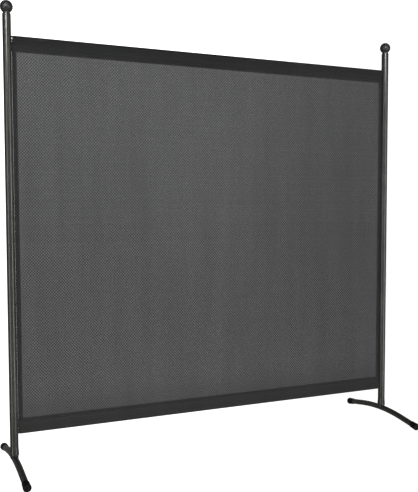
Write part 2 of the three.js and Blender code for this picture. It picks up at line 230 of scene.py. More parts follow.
def powder_coat():
    f = Finish("powder_coat", Specular_IOR_Level=0.5, Coat_Roughness=0.22)
    place = f.place()
    peel = f.noise(place, 420, 2.0)
    grain = f.noise(place, 2300, 2.0)
    patches = f.noise(f.stretch(place, (9, 9, 3)), 1, 4.0, 0.6)
    specks = f.cells(place, 900)[0]
    fleck = f.span(specks, 0.05, 0.16, 0.5, 0.0)
    tone = f.span(patches * 0.7 + grain * 0.3, 0.3, 0.7, 0.0, 1.0)
    colour = f.blend(tone, POWDER_DARK, POWDER_LIGHT)
    colour = f.blend(fleck, colour, POWDER_FLECK)
    rough = 0.19 + 0.10 * patches + 0.06 * grain
    normal = f.bump(peel, 0.16 * MM, 0.5)
    normal = f.bump(grain, 0.05 * MM, 0.35, normal)
    return f.feed(Base_Color=colour, Roughness=rough, Coat_Weight=0.08 + 0.08 * tone, Normal=normal)


# %% [markdown]
# ## Moulded plastics and rubber
#
# The ball finials are moulded in a matt dark plastic whose mould was spark eroded, so
# the skin has an even fine grain. The plugs are the same kind of plastic, blacker and
# a little shinier. The foot caps are soft rubber with a dusty bloom low down, where
# they touch the floor.

# %% Plastics and rubber
FINIAL_DARK, FINIAL_LIGHT = (0.0150, 0.0150, 0.0145), (0.0230, 0.0230, 0.0220)
PLUG_DARK, PLUG_LIGHT = (0.008, 0.008, 0.008), (0.014, 0.014, 0.014)
RUBBER_DARK, RUBBER_LIGHT = (0.0030, 0.0030, 0.0030), (0.0065, 0.0065, 0.0065)
RUBBER_BLOOM = (0.018, 0.0175, 0.0165)


def eroded_plastic(name, dark, light, rough_low, rough_high):
    f = Finish(name, Specular_IOR_Level=0.45)
    place = f.place()
    pits = f.cells(place, 1500)[0]
    grain = f.noise(place, 3200, 3.0, 0.6)
    clouds = f.noise(place, 38, 3.0)
    tone = f.span(clouds * 0.6 + grain * 0.4, 0.3, 0.7, 0.0, 1.0)
    rough = rough_low + (rough_high - rough_low) * (0.5 * clouds + 0.5 * pits)
    normal = f.bump(pits + 0.5 * grain, 0.07 * MM, 0.6)
    return f.feed(Base_Color=f.blend(tone, dark, light), Roughness=rough, Normal=normal)


def cap_rubber():
    f = Finish("cap_rubber", Specular_IOR_Level=0.18)
    place = f.place()
    height = f.axes(place)[2]
    scuffs = f.noise(f.stretch(place, (60, 60, 260)), 1, 4.0, 0.65)
    grain = f.noise(place, 2600, 3.0, 0.6)
    bloom = f.span(height, 0.0, 12 * MM, 0.65, 0.0) * f.span(scuffs, 0.4, 0.7, 0.0, 1.0)
    colour = f.blend(f.span(grain, 0.3, 0.7, 0.0, 1.0), RUBBER_DARK, RUBBER_LIGHT)
    colour = f.blend(bloom, colour, RUBBER_BLOOM)
    rough = 0.52 + 0.14 * scuffs + 0.2 * bloom
    normal = f.bump(grain + 0.6 * scuffs, 0.08 * MM, 0.5)
    return f.feed(Base_Color=colour, Roughness=rough, Normal=normal)


# %% [markdown]
# ## Zinc-plated steel
#
# Hooks, pins and screws are plated steel. The zinc has a crystalline spangle and a
# faint yellow and blue passivation tint, and brushing has left it satin. The screws,
# which show on the front of the posts, have a black passivation instead, so the same
# function is called again with darker colours.

# %% Zinc-plated steel
BRIGHT_WARM, BRIGHT_COOL, BRIGHT_DARK = (0.60, 0.60, 0.56), (0.52, 0.55, 0.60), (0.42, 0.43, 0.44)
BLACK_WARM, BLACK_COOL, BLACK_DARK = (0.075, 0.074, 0.068), (0.058, 0.060, 0.066), (0.040, 0.041, 0.043)


def zinc_steel(name, warm, cool, dark, rough_low):
    f = Finish(name, Specular_IOR_Level=0.5)
    place = f.place()
    spangle = f.cells(place, 420)
    tilt = f.make("ShaderNodeSeparateColor", (), [spangle[1]])[0]
    tint = f.noise(place, 160, 3.0)
    lines = f.noise(f.stretch(place, (500, 500, 5200)), 1, 2.0)
    colour = f.blend(f.span(tint, 0.35, 0.65, 0.0, 1.0), warm, cool)
    colour = f.blend(0.35 * tilt, colour, dark)
    rough = rough_low + 0.14 * tilt + 0.08 * lines
    normal = f.bump(lines, 0.03 * MM, 0.5)
    return f.feed(Base_Color=colour, Metallic=0.92 + 0.06 * tint, Roughness=rough, Normal=normal)


# %% [markdown]
# ## The mesh cloth
#
# The cloth is woven from coated yarns with a tiny square hole left at each crossing,
# so a white wall shows through it as a grey veil and two layers look nearly black. A
# finer and a more open block of the weave alternate like a chessboard, which gives
# the field its small diamond pattern.
#
# The holes could be modelled, but there are millions, and from a few steps away they
# melt together. Instead the finish works out, from distances along the cloth kept in
# its UV map, where yarns run, which one is on top and what share of the light gets
# through: most between the yarns of an open block, least on a yarn of a close one.
# A painted bounce light from the floor pales the bottom hem and fades out above it,
# and less light passes through the cloth just above that hem.
#
# The cloth has two skins with a rim, so that it is a closed body. The share that
# passes is taken where a skin is met from outside, and the other skin, met from
# inside, is left clear: a layer is then seen through once, as in life.

# %% Mesh cloth
YARN_ACROSS = 1.10 * MM  # from one upright yarn to the next
YARN_UP = 1.22 * MM  # from one level yarn to the next
BLOCK_YARNS = 5  # yarns in one block of the pattern
OPEN_SHARE = (0.018, 0.072)  # of the light that passes, in the close and in the open blocks
CLOTH_DARK = (0.0056, 0.0057, 0.0059)
CLOTH_LIGHT = (0.0290, 0.0293, 0.0307)
CLOTH_PAINTED_BOUNCE = (0.034, 0.033, 0.032)  # painted bounce light from the floor, on the cloth's lowest part
HEM_END = 0.122  # metres up the sheet, from its loose edge to the top of the bottom hem's front


def mesh_cloth():
    f = Finish("mesh_cloth", Specular_IOR_Level=0.12)
    along = f.make("ShaderNodeUVMap", {"uv_map": "along_cloth"})[0]
    across, up, _ = f.axes(along)
    column, row = across / YARN_ACROSS, up / YARN_UP
    side_x = (column.part() - 0.5).size() * 2
    side_y = (row.part() - 0.5).size() * 2
    turn = math.pi / BLOCK_YARNS
    block = (column * turn).wave() * (row * turn).wave()
    open_block = f.span(block, -0.30, 0.30, 0.0, 1.0)
    window = side_x * side_x * side_y * side_y * 9  # 0 on the middle of a yarn, most between yarns
    bands = f.noise(f.stretch(along, (14, 1.5, 1)), 1, 3.0, 0.55)
    passed = (OPEN_SHARE[0] + (OPEN_SHARE[1] - OPEN_SHARE[0]) * open_block) * (0.4 + 0.6 * window)
    # less light passes through the cloth in a band just above the bottom hem
    passed = passed * (0.80 + 0.40 * bands) * f.span(up, HEM_END + 0.003, 0.26, 0.72, 1.0)
    inside = f.make("ShaderNodeNewGeometry")[6]
    on_top = 0.5 + 0.5 * (column * math.pi).wave() * (row * math.pi).wave()
    yarn = (1 - side_x * side_x) * on_top + (1 - side_y * side_y) * (1 - on_top)
    streak_x = f.make("ShaderNodeTexWhiteNoise", {"noise_dimensions": "1D"}, {"W": column.whole()})[0]
    streak_y = f.make("ShaderNodeTexWhiteNoise", {"noise_dimensions": "1D"}, {"W": row.whole() + 4000})[0]
    tone = 0.2 * yarn + 0.12 * streak_x + 0.12 * streak_y + 0.2 * bands + 0.45 * open_block
    colour = f.blend(f.span(tone, 0.1, 1.0, 0.0, 1.0), CLOTH_DARK, CLOTH_LIGHT)
    # painted bounce light: the bottom hem and the field above it are paler, as if lit from the floor
    painted_bounce = f.span(up, HEM_END - 0.004, HEM_END + 0.004, 0.36, 0.0) + f.span(up, 0.12, 0.50, 0.18, 0.0)
    painted_bounce = painted_bounce * (0.6 + 0.8 * bands)
    colour = f.blend(painted_bounce, colour, CLOTH_PAINTED_BOUNCE)
    rough = 0.62 + 0.12 * streak_x + 0.1 * (1 - yarn)
    normal = f.bump(yarn, 0.22 * MM, 0.55)
    alpha = (1 - passed) * (1 - inside)
    return f.feed(Base_Color=colour, Roughness=rough, Alpha=alpha, Normal=normal)


THREAD_DARK, THREAD_LIGHT = (0.016, 0.016, 0.017), (0.050, 0.050, 0.053)


def stitch_thread():
    f = Finish("stitch_thread", Sheen_Weight=0.2, Specular_IOR_Level=0.35)
    place = f.place()
    x, _, z = f.axes(place)
    twist = 0.5 + 0.5 * ((x + z) * (2 * math.pi / (0.55 * MM))).wave()
    fuzz = f.noise(place, 5200, 2.0)
    colour = f.blend(0.6 * twist + 0.4 * fuzz, THREAD_DARK, THREAD_LIGHT)
    normal = f.bump(twist + 0.4 * fuzz, 0.06 * MM, 0.6)
    return f.feed(Base_Color=colour, Roughness=0.55 + 0.2 * fuzz, Normal=normal)


# %% Make each finish once
FINISH = {
    "powder_coat": powder_coat(),
    "finial_plastic": eroded_plastic("finial_plastic", FINIAL_DARK, FINIAL_LIGHT, 0.34, 0.50),
    "plug_plastic": eroded_plastic("plug_plastic", PLUG_DARK, PLUG_LIGHT, 0.30, 0.46),
    "cap_rubber": cap_rubber(),
    "zinc_steel": zinc_steel("zinc_steel", BRIGHT_WARM, BRIGHT_COOL, BRIGHT_DARK, 0.26),
    "mesh_cloth": mesh_cloth(),
    "hem_cloth": stitch_thread(),
}
BLACK_ZINC = zinc_steel("black_zinc", BLACK_WARM, BLACK_COOL, BLACK_DARK, 0.38)
print("finishes", sorted(FINISH))

# %% [markdown]
# ## Turning points and faces into a piece
#
# Every piece is made of points and faces in metres, at its place in the frame. One
# function makes the object, merges doubled points, turns the faces outwards, keeps
# curved faces smooth and sharp edges sharp. A second one says which body carries the
# piece, which finish it takes and which CAD node it stands for.

# %% Points and faces to a finished piece
SHARP_ANGLE = math.radians(32)


def clean(mesh, outwards=True):
    work = bmesh.new()
    work.from_mesh(mesh)
    bmesh.ops.remove_doubles(work, verts=work.verts, dist=0.002 * MM)
    if outwards:
        bmesh.ops.recalc_face_normals(work, faces=work.faces)
    work.to_mesh(mesh)
    work.free()
    mesh.shade_smooth()
    mesh.set_sharp_from_angle(angle=SHARP_ANGLE)


def piece_from(name, points, faces):
    mesh = bpy.data.meshes.new(name)
    mesh.from_pydata([tuple(p) for p in points], [], faces)
    clean(mesh)
    piece = bpy.data.objects.new(name, mesh)
    bpy.context.scene.collection.objects.link(piece)
    return piece


def settle(piece, body, slot, *nodes):
    if not piece.data.materials:
        piece.data.materials.append(FINISH[slot])
    if nodes:
        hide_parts(*nodes)
    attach(piece, body)
    size = piece.dimensions / MM
    print(f"{piece.name}: {len(piece.data.polygons)} faces, {size.x:.0f} x {size.y:.0f} x {size.z:.0f} mm")
    return piece


def arc(centre, radius, start, end, steps):
    angles = np.radians(np.linspace(start, end, steps + 1))
    return [(centre[0] + radius * math.cos(a), centre[1] + radius * math.sin(a)) for a in angles]


# %% [markdown]
# ## Turned pieces
#
# Posts, finials, caps, bars and screws are all round, so one lathe makes them: it
# turns a profile of (radius, height) pairs about an axis. A profile that comes back
# to its start is a tube with a wall. One that starts and ends on the axis is solid.

# %% The lathe
def turned(profile, angles, along=lambda r, a, h: (r * math.cos(a), r * math.sin(a), h), skip=()):
    """Points and faces of a closed profile turned about its axis. `skip` holds the
    (step of the profile, step of the turn) of faces that are left out."""
    rows, turns = len(profile), len(angles)
    points = [along(r, a, h) for r, h in profile for a in angles]
    faces = []
    for i in range(rows):
        for j in range(turns):
            if (i, j) in skip:
                continue
            k, n = (i + 1) % rows, (j + 1) % turns
            corners = [i * turns + j, i * turns + n, k * turns + n, k * turns + j]
            if profile[i][0] < 1e-9 and profile[k][0] < 1e-9:
                continue
            if profile[i][0] < 1e-9:
                corners = corners[1:]
            elif profile[k][0] < 1e-9:
                corners = corners[:3]
            faces.append(corners)
    return points, faces


def even_turn(steps):
    return list(np.linspace(0, 2 * math.pi, steps, endpoint=False))


# %% [markdown]
# ## Posts
#
# A post is a tube of 32 mm with a 1.5 mm wall. Its lower end is widened a little to
# slip over the foot's stub, and its top edge is rolled inwards. Two upright slots
# face the cloth, one for each bar's hook. They are left out of both walls of the tube
# and closed with faces between the walls, which needs no boolean cut.

# %% Sizes read from the frame
def centre_of(node):
    low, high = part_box(node)
    return (low + high) / 2


POST_RADIUS, POST_WALL = 16 * MM, 1.5 * MM
BELL_FLARE, BELL_STRAIGHT, BELL_LENGTH = 1.5 * MM, 6 * MM, 36 * MM
RIM_ROUND = 3 * MM
post_low, post_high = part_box("left_post")
POST_BOTTOM, POST_TOP = post_low.z, post_high.z
POST_AXIS = {side: centre_of(f"{side}_post").x for side in SIDES}
BAR_HEIGHT = {bar: centre_of(f"{bar}_crossbar").z for bar in BARS}
SLOT_HALF_WIDTH, SLOT_HALF_HEIGHT, SLOT_SHIFT = 2.0 * MM, 9.0 * MM, 4.0 * MM
print("post", round(POST_BOTTOM / MM, 1), "to", round(POST_TOP / MM, 1), "bars at", BAR_HEIGHT)


# %% Posts
def post_radius(height):
    t = min(max((height - POST_BOTTOM - BELL_STRAIGHT) / (BELL_LENGTH - BELL_STRAIGHT), 0), 1)
    return POST_RADIUS + BELL_FLARE * (1 - t * t * (3 - 2 * t))


def slot_ends():
    ends = []
    for bar, way in BARS.items():
        middle = BAR_HEIGHT[bar] - way * SLOT_SHIFT
        ends.append((middle - SLOT_HALF_HEIGHT, middle + SLOT_HALF_HEIGHT))
    return sorted(ends)


def post_levels():
    """Heights of the wall's rings: close in the bell, at each slot's ends, wide between."""
    bell = np.linspace(POST_BOTTOM + BELL_STRAIGHT, POST_BOTTOM + BELL_LENGTH, 14)
    slots = [z for pair in slot_ends() for z in pair]
    between = np.linspace(POST_BOTTOM + 140 * MM, POST_TOP - 140 * MM, 9)
    top = POST_TOP - RIM_ROUND
    return sorted({round(float(z), 6) for z in [POST_BOTTOM + 0.4 * MM, *bell, *slots, *between, top]})


def make_post(side):
    way = SIDES[side]
    facing = 0.0 if way < 0 else math.pi  # the slots face the cloth
    half = math.asin(SLOT_HALF_WIDTH / POST_RADIUS)
    angles = list(np.linspace(half, 2 * math.pi - half, 62)) + [2 * math.pi]
    angles = [a + facing for a in angles]
    levels = post_levels()
    rim_centre = (POST_RADIUS - RIM_ROUND, POST_TOP - RIM_ROUND)
    edge = 0.4 * MM
    outer = [(post_radius(z), z) for z in levels[:-1]]
    inner = [(post_radius(z) - POST_WALL, z) for z in levels[:-1]]
    mouth = rim_centre[0] - edge
    lip = mouth - 0.3 * MM
    rim = arc(rim_centre, RIM_ROUND, 0, 90, 8) + [(mouth, POST_TOP)]
    rim += [(lip, POST_TOP - 0.3 * MM), (lip, POST_TOP - 1.2 * MM)]
    rim += [(mouth, POST_TOP - POST_WALL)] + arc(rim_centre, RIM_ROUND - POST_WALL, 90, 0, 5)
    foot = [(inner[0][0] + edge, POST_BOTTOM), (outer[0][0] - edge, POST_BOTTOM)]
    profile = outer + rim + inner[::-1] + foot
    place = lambda r, a, h: (POST_AXIS[side] + r * math.cos(a), r * math.sin(a), h)
    gaps, walls = set(), []
    last, turns, rows = len(angles) - 1, len(angles), len(profile)
    for low, high in slot_ends():
        i = levels.index(round(low, 6))
        k = rows - 3 - levels.index(round(high, 6))  # the inner wall's ring above, counted down
        for j in (last - 1, last):
            gaps |= {(i, j), (k, j)}
        a, m, b = last - 1, last, 0
        ring = lambda row, turn: row * turns + turn
        outer_loop = [ring(i, a), ring(i, m), ring(i, b), ring(i + 1, b), ring(i + 1, m), ring(i + 1, a)]
        inner_loop = [ring(k + 1, a), ring(k + 1, m), ring(k + 1, b), ring(k, b), ring(k, m), ring(k, a)]
        for n in range(6):
            walls.append([outer_loop[n], outer_loop[(n + 1) % 6], inner_loop[(n + 1) % 6], inner_loop[n]])
    points, faces = turned(profile, angles, place, gaps)
    return piece_from(f"{side}_post_tube", points, faces + walls)


for side in SIDES:
    settle(make_post(side), "frame", "powder_coat", f"{side}_post")

# %% [markdown]
# ## Ball finials
#
# A finial is one moulding: a ball, a short neck that sits on the post's rolled edge
# and a hollow peg pushed into the post. A tiny fillet joins neck and ball.

# %% Finials
BALL_RADIUS, NECK_RADIUS = 24 * MM, 13.5 * MM
PEG_RADIUS, PEG_WALL, PEG_LENGTH = 12.1 * MM, 2.4 * MM, 24 * MM
FILLET_TURN = 1.6  # degrees of the ball that the fillet takes up


def make_finial(side):
    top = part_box(f"{side}_finial")[1].z
    centre = top - BALL_RADIUS
    neck_base = POST_TOP + 0.3 * MM
    start = -math.degrees(math.acos(NECK_RADIUS / BALL_RADIUS))
    neck_top = centre + BALL_RADIUS * math.sin(math.radians(start))
    fillet = [(NECK_RADIUS, neck_top - 1.2 * MM), (NECK_RADIUS + 0.12 * MM, neck_top - 0.4 * MM)]
    ball = arc((0, centre), BALL_RADIUS, start + FILLET_TURN, 90, 40)
    ball[-1] = (0, top)
    profile = [
        (0, neck_base - PEG_WALL),
        (PEG_RADIUS - PEG_WALL, neck_base - PEG_WALL),
        (PEG_RADIUS - PEG_WALL, neck_base - PEG_LENGTH),
        (PEG_RADIUS - 0.5 * MM, neck_base - PEG_LENGTH),
        (PEG_RADIUS, neck_base - PEG_LENGTH + 0.6 * MM),
        (PEG_RADIUS, neck_base),
        (NECK_RADIUS - 0.3 * MM, neck_base),
        (NECK_RADIUS, neck_base + 0.3 * MM),
        *fillet,
        *ball,
    ]
    place = lambda r, a, h: (POST_AXIS[side] + r * math.cos(a), r * math.sin(a), h)
    return piece_from(f"{side}_ball_finial", *turned(profile, even_turn(72), place))


for side in SIDES:
    settle(make_finial(side), f"{side}_finial", "finial_plastic", f"{side}_finial")

# %% [markdown]
# ## Arched feet
#
# A foot is a 25 mm tube bent to a shallow arch: a round bend under the post that runs
# on straight, sloping down to both ends. The centre line is worked out from the
# height of the arch, its reach and the slope of its ends, and a ring is carried along
# it. The tube is open at both ends inside its caps.

# %% The foot's centre line
FOOT_RADIUS, FOOT_WALL, FOOT_APEX, FOOT_REACH = 12.5 * MM, 1.5 * MM, 43.5 * MM, 258 * MM
FOOT_SLOPE = math.radians(9.2)
CAP_LENGTH, CAP_END_WALL, CAP_WALL, CAP_FLARE = 37 * MM, 6 * MM, 1.5 * MM, 1.3 * MM
FIT_GAP, SOLE_DEPTH = 0.3 * MM, 1.8 * MM

cap_end_height = (FOOT_RADIUS + FIT_GAP + CAP_WALL + CAP_FLARE) * math.cos(FOOT_SLOPE) - SOLE_DEPTH
spare_drop = FOOT_REACH * math.tan(FOOT_SLOPE) - (FOOT_APEX - cap_end_height)
BEND_RADIUS = spare_drop * math.cos(FOOT_SLOPE) / (1 - math.cos(FOOT_SLOPE))
HALF_BEND = BEND_RADIUS * FOOT_SLOPE
HALF_FOOT = HALF_BEND + (FOOT_REACH - BEND_RADIUS * math.sin(FOOT_SLOPE)) / math.cos(FOOT_SLOPE)
HALF_TUBE = HALF_FOOT - CAP_END_WALL - FIT_GAP


def foot_line(length):
    """(y, z) of the centre line at a length counted from under the post, and its slope."""
    bent = min(max(length, -HALF_BEND), HALF_BEND)
    angle, rest = bent / BEND_RADIUS, length - bent
    y = BEND_RADIUS * math.sin(angle) + rest * math.cos(FOOT_SLOPE)
    z = FOOT_APEX - BEND_RADIUS * (1 - math.cos(angle)) - abs(rest) * math.sin(FOOT_SLOPE)
    return y, z, -angle


print("bend radius", round(BEND_RADIUS / MM), "mm, tube", round(2 * HALF_TUBE / MM), "mm long")


# %% Foot tubes
def make_foot_tube(side):
    bore = FOOT_RADIUS - FOOT_WALL
    lip = 0.4 * MM
    stations = [(s, r) for s in np.linspace(-HALF_TUBE + lip, HALF_TUBE - lip, 61) for r in [FOOT_RADIUS]]
    stations += [(HALF_TUBE, FOOT_RADIUS - lip), (HALF_TUBE, bore + lip)]
    stations += [(s, bore) for s in np.linspace(HALF_TUBE - lip, -HALF_TUBE + lip, 41)]
    stations += [(-HALF_TUBE, bore + lip), (-HALF_TUBE, FOOT_RADIUS - lip)]

    def place(radius, angle, length):
        y, z, slope = foot_line(length)
        up = radius * math.sin(angle)
        x = POST_AXIS[side] + radius * math.cos(angle)
        return (x, y - up * math.sin(slope), z + up * math.cos(slope))

    profile = [(r, s) for s, r in stations]
    return piece_from(f"{side}_foot_bend", *turned(profile, even_turn(44), place))


for side in SIDES:
    settle(make_foot_tube(side), f"{side}_foot", "powder_coat", f"{side}_foot_tube")

# %% [markdown]
# ## Stubs and their welds
#
# Under each post a stub stands on the foot. Its collar hugs the tube like a saddle,
# and the post is slipped over it. The stub is turned on the lathe with a bent lower
# edge: each point of that edge is lifted to the tube's surface, so the saddle fits.

# %% Stubs
COLLAR_RADIUS, STUB_RADIUS, STUB_WALL = 15.5 * MM, 14 * MM, 2.5 * MM
COLLAR_HEIGHT, STUB_LENGTH = 10 * MM, 64 * MM


def saddle(x):
    """Height of the foot's upper surface above its own middle, or the middle's height."""
    reach = FOOT_RADIUS + 0.05 * MM
    return FOOT_APEX + math.sqrt(max(reach * reach - x * x, 0))


def make_stub(side):
    top = POST_BOTTOM + STUB_LENGTH
    shoulder = COLLAR_RADIUS - STUB_RADIUS
    bore = STUB_RADIUS - STUB_WALL
    collar_top = POST_BOTTOM + COLLAR_HEIGHT
    profile = [
        (COLLAR_RADIUS, None),
        (COLLAR_RADIUS, collar_top - shoulder),
        (STUB_RADIUS, collar_top),
        (STUB_RADIUS, top - 1.5 * MM),
        (STUB_RADIUS - 1.5 * MM, top),
        (bore, top),
        (bore, None),
    ]

    def place(radius, angle, height):
        x, y = radius * math.cos(angle), radius * math.sin(angle)
        return (POST_AXIS[side] + x, y, saddle(x) if height is None else height)

    return piece_from(f"{side}_stub_tube", *turned(profile, even_turn(96), place))


for side in SIDES:
    settle(make_stub(side), f"{side}_foot", "powder_coat", f"{side}_foot_stub")

# %% [markdown]
# A weld bead runs over the tube in front of the collar and behind it. A welder's
# bead is a row of overlapping drops, so Geometry Nodes lay one low, flattened drop
# after another along the line where collar and tube meet. The spacing, the size and
# the unevenness are inputs of the tree.

# %% A small builder for Geometry Nodes trees
class Nodes:
    def __init__(self, name, inputs):
        self.tree = bpy.data.node_groups.new(name, "GeometryNodeTree")
        self.tree.interface.new_socket("Geometry", in_out="INPUT", socket_type="NodeSocketGeometry")
        self.tree.interface.new_socket("Geometry", in_out="OUTPUT", socket_type="NodeSocketGeometry")
        for label, (kind, value) in inputs.items():
            socket = self.tree.interface.new_socket(label, in_out="INPUT", socket_type=f"NodeSocket{kind}")
            if value is not None:
                socket.default_value = value
        self.start = self.tree.nodes.new("NodeGroupInput")
        self.end = self.tree.nodes.new("NodeGroupOutput")

    def make(self, kind, settings=(), values=()):
        node = self.tree.nodes.new(kind)
        for key, value in dict(settings).items():
            setattr(node, key, value)
        for key, value in dict(values).items():
            if isinstance(value, bpy.types.NodeSocket):
                self.tree.links.new(value, node.inputs[key])
            else:
                node.inputs[key].default_value = value
        return node.outputs

    def math(self, operation, first, second=0.0):
        return self.make("ShaderNodeMath", {"operation": operation}, {0: first, 1: second})[0]

    def points_along(self, curve, step):
        """Evenly spaced points on a curve, with their tangents and rotations."""
        values = {"Curve": curve, "Length": step}
        even = self.make("GeometryNodeResampleCurve", {"mode": "LENGTH"}, values)[0]
        return self.make("GeometryNodeCurveToPoints", {"mode": "EVALUATED"}, {0: even})

    def chance(self, low, high, seed):
        values = {2: low, 3: high, "Seed": seed}
        return self.make("FunctionNodeRandomValue", {"data_type": "FLOAT"}, values)[1]

    def finish(self, geometry, material):
        real = self.make("GeometryNodeRealizeInstances", (), {0: geometry})[0]
        painted = self.make("GeometryNodeSetMaterial", (), {0: real, 2: material})[0]
        self.tree.links.new(painted, self.end.inputs[0])


def line_object(name, lines):
    """Edges through the points of each line, with no faces."""
    points, edges = [], []
    for line in lines:
        first = len(points)
        points += [tuple(p) for p in line]
        edges += [(first + i, first + i + 1) for i in range(len(line) - 1)]
    mesh = bpy.data.meshes.new(name)
    mesh.from_pydata(points, edges, [])
    obj = bpy.data.objects.new(name, mesh)
    bpy.context.scene.collection.objects.link(obj)
    return obj


def run_nodes(obj, tree, values):
    """Runs a tree on an object with the given inputs and keeps the result as its mesh."""
    modifier = obj.modifiers.new("nodes", "NODES")
    modifier.node_group = tree
    for item in tree.interface.items_tree:
        if item.item_type == "SOCKET" and item.in_out == "INPUT" and item.name in values:
            modifier[item.identifier] = values[item.name]
    bpy.context.view_layer.update()
    ready = obj.evaluated_get(bpy.context.evaluated_depsgraph_get())
    mesh = bpy.data.meshes.new_from_object(ready)
    obj.modifiers.clear()
    obj.data = mesh
    mesh.shade_smooth()
    mesh.set_sharp_from_angle(angle=math.radians(60))
    return obj


# %% Weld beads
def weld_tree():
    t = Nodes("weld_bead", {
        "Spacing": ("Float", 1.3 * MM),
        "Width": ("Float", 1.9 * MM),
        "Unevenness": ("Float", 0.16),
        "Seed": ("Int", 7),
        "Finish": ("Material", None),
    })
    inp = t.start.outputs
    curve = t.make("GeometryNodeMeshToCurve", (), {0: inp["Geometry"]})[0]
    spots = t.points_along(curve, inp["Spacing"])
    drop = t.make("GeometryNodeMeshUVSphere", (), {"Segments": 12, "Rings": 8, "Radius": 1.0})[0]
    low = t.math("SUBTRACT", 1.0, inp["Unevenness"])
    high = t.math("ADD", 1.0, inp["Unevenness"])
    size = t.math("MULTIPLY", t.chance(low, high, inp["Seed"]), inp["Width"])
    flat = t.math("MULTIPLY", size, 0.62)
    scale = t.make("ShaderNodeCombineXYZ", (), {0: size, 1: size, 2: flat})[0]
    drops = t.make("GeometryNodeInstanceOnPoints", (), {
        "Points": spots[0], "Instance": drop, "Rotation": spots[3], "Scale": scale})[0]
    t.finish(drops, inp["Finish"])
    return t.tree


def weld_line(side, way):
    line = []
    for x in np.linspace(-12.3, 12.3, 50) * MM:
        y = way * math.sqrt((COLLAR_RADIUS + 0.2 * MM) ** 2 - x * x)
        line.append((POST_AXIS[side] + x, y, saddle(x) - 0.1 * MM))
    return line


WELD = weld_tree()
for side in SIDES:
    bead = line_object(f"{side}_weld_bead", [weld_line(side, -1), weld_line(side, 1)])
    values = {"Spacing": 1.3 * MM, "Width": 1.8 * MM, "Seed": 11, "Finish": FINISH["powder_coat"]}
    run_nodes(bead, WELD, values)
    settle(bead, f"{side}_foot", "powder_coat")

# %% [markdown]
# ## Foot caps
#
# Each end of a foot wears a rubber cup. It is round at its mouth, a little wider at
# its closed end, and its sole is pressed flat on the floor. The cup is turned about
# the sloping line of the tube, and what would sink below the floor is laid flat.

# %% Caps
CAP_ROUND = 4 * MM


def make_cap(side, end_name, way):
    bore = FOOT_RADIUS + FIT_GAP
    mouth, wide = bore + CAP_WALL, bore + CAP_WALL + CAP_FLARE
    lip = 0.5 * MM
    inside, bead, dimple = CAP_LENGTH - CAP_END_WALL, mouth + 0.35 * MM, CAP_LENGTH - 0.35 * MM
    flare = []
    for t in np.linspace(0, 1, 9):
        flare.append((mouth + CAP_FLARE * t * t * (3 - 2 * t), CAP_LENGTH * (0.30 + 0.42 * t)))
    rounding = arc((wide - CAP_ROUND, CAP_LENGTH - CAP_ROUND), CAP_ROUND, 0, 90, 8)
    profile = [(0, inside), (bore, inside), (bore, lip), (bore + lip, 0)]
    profile += [(mouth - lip, 0), (mouth, lip), (bead, 1.4 * MM), (bead, 2.6 * MM), (mouth, 3.6 * MM)]
    profile += [*flare, *rounding, (9 * MM, CAP_LENGTH), (8.6 * MM, dimple), (0, dimple)]
    start = HALF_TUBE + FIT_GAP + CAP_END_WALL - CAP_LENGTH
    y0, z0, _ = foot_line(way * start)

    def place(radius, angle, length):
        up = radius * math.sin(angle)
        y = y0 + way * (length * math.cos(FOOT_SLOPE) + up * math.sin(FOOT_SLOPE))
        z = z0 - length * math.sin(FOOT_SLOPE) + up * math.cos(FOOT_SLOPE)
        return (POST_AXIS[side] + radius * math.cos(angle), y, max(z, 0.0))

    return piece_from(f"{side}_{end_name}_rubber_cap", *turned(profile, even_turn(64), place))


for side in SIDES:
    for end_name, way in (("front", -1), ("back", 1)):
        settle(make_cap(side, end_name, way), f"{side}_foot", "cap_rubber", f"{side}_{end_name}_cap")

# %% [markdown]
# ## Clamp screws
#
# One button-head screw in the front of each post presses on the stub. The lathe turns
# the head about the screw's own axis, and the six flats of the socket come from a
# radius that changes with the angle.

# %% Screws
def make_screw(side):
    low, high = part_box(f"{side}_clamp_screw")
    height, front = (low.z + high.z) / 2, -low.y
    head = 4.6 * MM
    crown = [(head * math.cos(t), 1.7 * MM - 1.6 * MM * math.sin(t)) for t in np.linspace(0.2, 1.05, 7)]
    shank = [(0, 5.2 * MM), (3 * MM, 5.2 * MM), (3 * MM, 2.6 * MM), (head - 0.2 * MM, 2.6 * MM)]
    shoulder = [(head, 2.4 * MM), (head, 1.7 * MM)]
    socket = [(2.15 * MM, 0.1 * MM), (2.0 * MM, 0.3 * MM), (2.0 * MM, 1.5 * MM), (0, 1.9 * MM)]
    profile = [(radius, front - depth) for radius, depth in shank + shoulder + crown + socket]
    socket_rows = {(2.15, 0.1), (2.0, 0.3), (2.0, 1.5)}

    def place(radius, angle, reach):
        key = (round(radius / MM, 2), round((front - reach) / MM, 2))
        if key in socket_rows:  # across flats all round, wider at the six corners
            radius /= math.cos((angle + math.pi / 6) % (math.pi / 3) - math.pi / 6)
        return (POST_AXIS[side] + radius * math.cos(angle), -reach, height + radius * math.sin(angle))

    return piece_from(f"{side}_button_screw", *turned(profile, even_turn(48), place))


for side in SIDES:
    screw = make_screw(side)
    screw.data.materials.append(BLACK_ZINC)
    settle(screw, "frame", "zinc_steel", f"{side}_clamp_screw")

# %% [markdown]
# ## Crossbars and their fittings
#
# The bars are plain tubes, seen only at the mouths of the hems. Plug, hook and pin
# have the right shape in the CAD model already. Each is copied, its loose triangles
# merged and its flat faces joined, and a narrow bevel breaks the sharp edges, as
# moulding and stamping do.

# %% Crossbars
BAR_RADIUS, BAR_WALL = 10 * MM, 1.2 * MM


